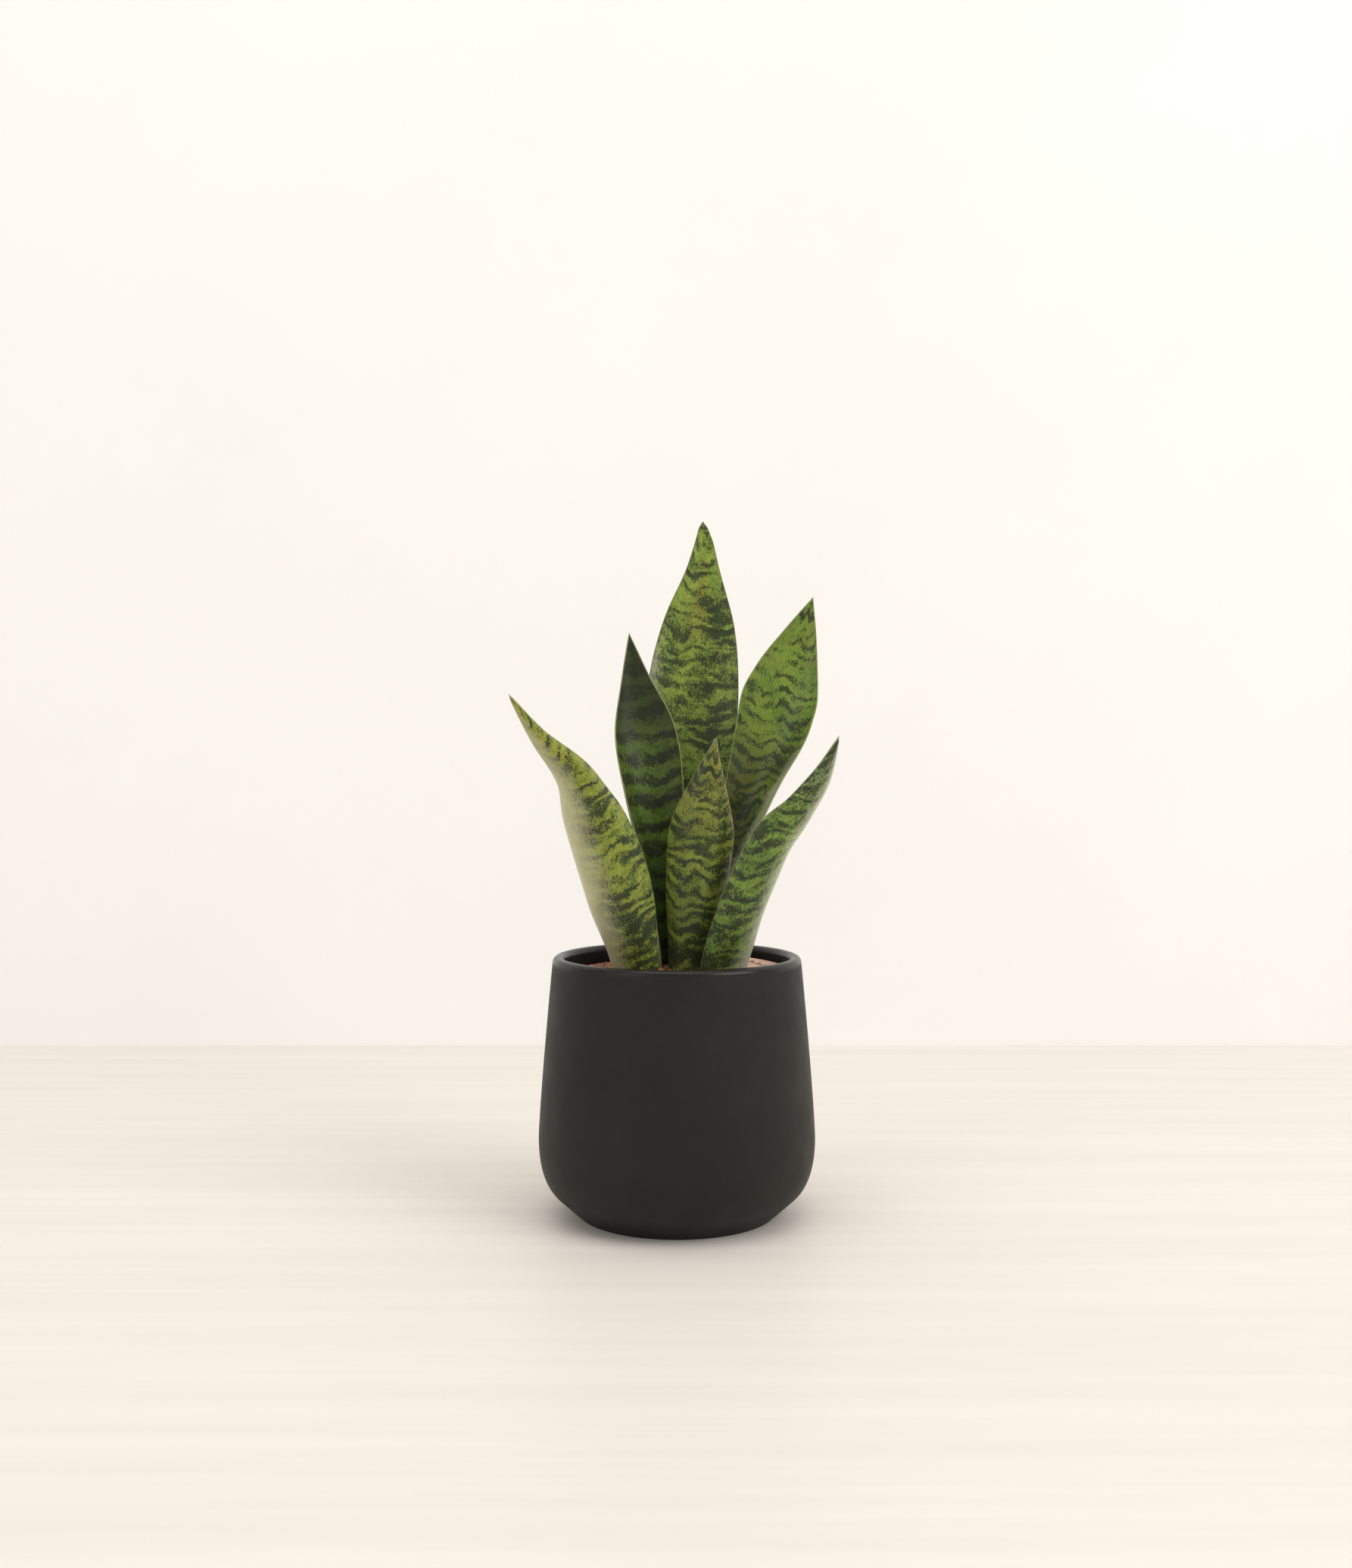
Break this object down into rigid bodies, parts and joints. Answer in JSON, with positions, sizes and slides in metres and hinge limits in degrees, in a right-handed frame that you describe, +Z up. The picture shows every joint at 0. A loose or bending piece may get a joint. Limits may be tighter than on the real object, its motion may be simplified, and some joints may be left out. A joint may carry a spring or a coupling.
{
  "type": "potted snake plant",
  "caption": "Snake plant with banded green sword leaves, standing in copper gravel in a round matte black planter with a soft lip, with a wooden disc marker lying on the gravel.",
  "frame": {"origin": "middle of the planter's foot, on the surface it stands on, which is also within 2 mm of the bottom middle of the whole box", "axes": "+Z up along the planter's axis; the small front leaf faces -Y and the left front leaf leans to -X"},
  "size_m": [0.1747, 0.15, 0.379],
  "materials": {
    "planter_body": "matte",
    "mix": "matte",
    "gravel_grains": "matte",
    "rhizome_skin": "matte",
    "marker_disc": "matte",
    "leaf_tall_back_blade": "satin",
    "leaf_dark_left_blade": "satin",
    "leaf_front_left_blade": "satin",
    "leaf_front_small_blade": "satin",
    "leaf_right_back_blade": "satin",
    "leaf_front_right_blade": "satin"
  },
  "bodies": {
    "root": {"planter": "planter_body", "potting_mix": "mix", "gravel": "gravel_grains", "rhizome": "rhizome_skin", "plant_marker": "marker_disc", "leaf_tall_back": "leaf_tall_back_blade", "leaf_dark_left": "leaf_dark_left_blade", "leaf_front_left": "leaf_front_left_blade", "leaf_front_small": "leaf_front_small_blade", "leaf_right_back": "leaf_right_back_blade", "leaf_front_right": "leaf_front_right_blade"}
  },
  "joints": []
}
